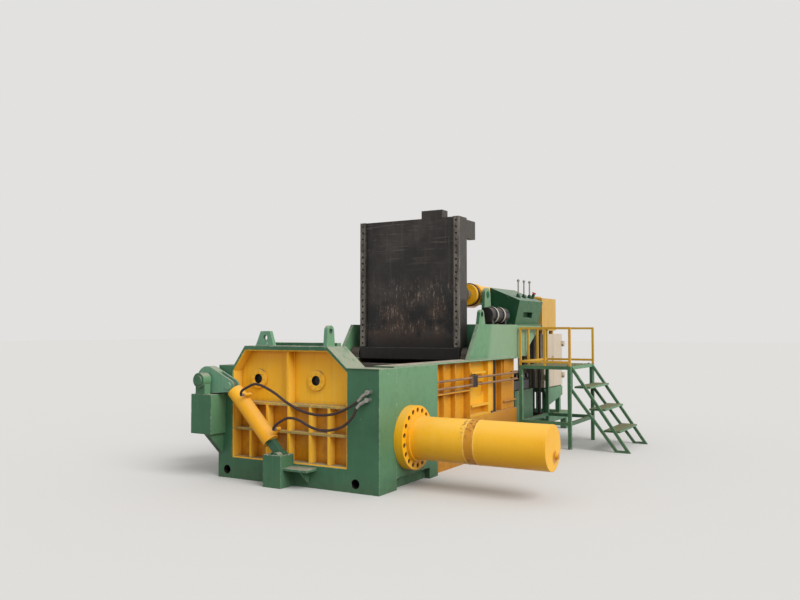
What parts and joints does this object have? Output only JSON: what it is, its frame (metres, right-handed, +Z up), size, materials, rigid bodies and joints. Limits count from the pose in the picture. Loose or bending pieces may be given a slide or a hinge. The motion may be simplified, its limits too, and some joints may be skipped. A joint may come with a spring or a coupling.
{
  "type": "recycling baler",
  "caption": "Scrap-metal baling press with a raised lid, side main ram, rear feed ram, swinging turn-out door, front hoses, hydraulic unit and operator platform with stairs.",
  "frame": {"origin": "on the ground under the middle of the front frame, halfway through its side foot", "axes": "+X to the side with the main cylinder, +Y from the front frame to the rear, +Z up"},
  "size_m": [3.8897, 5.635, 2.79],
  "materials": {
    "green_paint": "worn gloss paint",
    "yellow_paint": "faded paint with rust",
    "dark_steel": "worn, oily dark steel",
    "bare_steel": "ground steel",
    "beige_paint": "satin sheet metal paint",
    "tan_paint": "dusty paint",
    "black_paint": "oily black paint",
    "hose_rubber": "matt rubber",
    "red_plastic": "gloss"
  },
  "bodies": {
    "press": {"front_frame": "green_paint", "front_bay": "yellow_paint", "lifting_lugs": "green_paint", "right_frame": "green_paint", "left_frame": "green_paint", "right_wall": "yellow_paint", "left_wall": "yellow_paint", "wall_ledges": "green_paint", "floor_base": "green_paint", "shear_beam": "dark_steel", "rear_bulkheads": "dark_steel", "rear_housing": "green_paint", "rear_lugs": "green_paint", "hinge_bearings": "dark_steel", "main_cylinder": "yellow_paint", "flange_bolts": "dark_steel", "feed_cylinder": "yellow_paint", "trunnion_bearings": "green_paint", "shaft_pedestal": "green_paint", "shaft_bearings": "green_paint", "pivot_bracket": "green_paint", "side_pipes": "bare_steel", "hose_upper": "hose_rubber", "hose_lower": "hose_rubber", "hose_fittings": "bare_steel", "valve_body": "black_paint", "console": "green_paint", "platform_deck": "green_paint", "platform_legs": "green_paint", "platform_railing": "yellow_paint", "stairs": "green_paint", "cabinet_body": "beige_paint", "header_tank": "tan_paint", "riser_pipes": "black_paint", "oil_tank": "green_paint", "pump_motor": "black_paint", "valve_stack": "black_paint", "power_skid": "green_paint"},
    "lid": {"lid_plate": "dark_steel", "lid_blades": "dark_steel", "lid_arms": "dark_steel"},
    "lid_cylinder_right": {"lid_barrel_right": "yellow_paint"},
    "lid_piston_right": {"lid_rod_right": "bare_steel"},
    "lid_cylinder_left": {"lid_barrel_left": "yellow_paint"},
    "lid_piston_left": {"lid_rod_left": "bare_steel"},
    "main_press": {"main_ram": "bare_steel", "main_rod": "bare_steel"},
    "feed_press": {"feed_ram": "bare_steel", "feed_rod": "bare_steel"},
    "turn_out": {"turn_shaft": "bare_steel", "turn_crank": "green_paint", "turn_door": "dark_steel"},
    "turn_cylinder": {"turn_barrel": "yellow_paint"},
    "turn_piston": {"turn_rod": "bare_steel"},
    "hand_lever_1": {"lever_1": "bare_steel"},
    "hand_lever_2": {"lever_2": "bare_steel"},
    "hand_lever_3": {"lever_3": "bare_steel"},
    "button": {"stop_button": "red_plastic"},
    "door_left": {"cabinet_door_left": "beige_paint"},
    "door_right": {"cabinet_door_right": "beige_paint"}
  },
  "joints": [
    {"name": "lid_hinge", "type": "hinge", "parent": "press", "child": "lid", "pos_m": [0, 2.091, 1.145], "axis": [1, 0, 0], "range_deg": [0, 90]},
    {"name": "lid_cylinder_right_pivot", "type": "hinge", "parent": "press", "child": "lid_cylinder_right", "pos_m": [0.315, 3.141, 1.86], "axis": [1, 0, 0], "range_deg": [0, 4.23]},
    {"name": "lid_piston_right_slide", "type": "slide", "parent": "lid_cylinder_right", "child": "lid_piston_right", "axis": [0, -1, 0], "range_m": [0, 1.3237]},
    {"name": "lid_cylinder_left_pivot", "type": "hinge", "parent": "press", "child": "lid_cylinder_left", "pos_m": [-0.315, 3.141, 1.86], "axis": [1, 0, 0], "range_deg": [0, 4.23]},
    {"name": "lid_piston_left_slide", "type": "slide", "parent": "lid_cylinder_left", "child": "lid_piston_left", "axis": [0, -1, 0], "range_m": [0, 1.3237]},
    {"name": "main_ram_slide", "type": "slide", "parent": "press", "child": "main_press", "axis": [-1, 0, 0], "range_m": [0, 0.85]},
    {"name": "feed_ram_slide", "type": "slide", "parent": "press", "child": "feed_press", "axis": [0, -1, 0], "range_m": [0, 1.3]},
    {"name": "turn_out_shaft", "type": "hinge", "parent": "press", "child": "turn_out", "pos_m": [-0.97, 0, 0.94], "axis": [0, -1, 0], "range_deg": [0, 75]},
    {"name": "turn_cylinder_pivot", "type": "hinge", "parent": "press", "child": "turn_cylinder", "pos_m": [-0.085, -0.174, 0.27], "axis": [0, 1, 0], "range_deg": [0, 5.37]},
    {"name": "turn_piston_slide", "type": "slide", "parent": "turn_cylinder", "child": "turn_piston", "axis": [-0.7025, 0, 0.7117], "range_m": [0, 0.3296]},
    {"name": "hand_lever_1_pivot", "type": "hinge", "parent": "press", "child": "hand_lever_1", "pos_m": [0.778, 3.491, 1.86867], "axis": [0, 1, 0], "range_deg": [-20, 20], "stiffness_Nm_per_rad": 12},
    {"name": "hand_lever_2_pivot", "type": "hinge", "parent": "press", "child": "hand_lever_2", "pos_m": [0.778, 3.691, 1.86867], "axis": [0, 1, 0], "range_deg": [-20, 20], "stiffness_Nm_per_rad": 12},
    {"name": "hand_lever_3_pivot", "type": "hinge", "parent": "press", "child": "hand_lever_3", "pos_m": [0.778, 3.891, 1.86867], "axis": [0, 1, 0], "range_deg": [-20, 20], "stiffness_Nm_per_rad": 12},
    {"name": "button_push", "type": "slide", "parent": "press", "child": "button", "axis": [-0.3853, 0, -0.9228], "range_m": [0, 0.008], "stiffness_N_per_m": 600, "springref_m": -0.004},
    {"name": "door_left_hinge", "type": "hinge", "parent": "press", "child": "door_left", "pos_m": [0.873, 4.237, 1], "axis": [0, 0, -1], "range_deg": [0, 80]},
    {"name": "door_right_hinge", "type": "hinge", "parent": "press", "child": "door_right", "pos_m": [0.873, 5.005, 1], "axis": [0, 0, 1], "range_deg": [0, 100]}
  ],
  "couplings": [
    {"joint": "lid_cylinder_right_pivot", "follows": "lid_hinge", "ratio": 0.041421},
    {"joint": "lid_piston_right_slide", "follows": "lid_hinge", "m_per_rad": 0.83954},
    {"joint": "lid_cylinder_left_pivot", "follows": "lid_hinge", "ratio": 0.041421},
    {"joint": "lid_piston_left_slide", "follows": "lid_hinge", "m_per_rad": 0.83954},
    {"joint": "turn_cylinder_pivot", "follows": "turn_out_shaft", "ratio": 0.064912},
    {"joint": "turn_piston_slide", "follows": "turn_out_shaft", "m_per_rad": 0.24949}
  ]
}
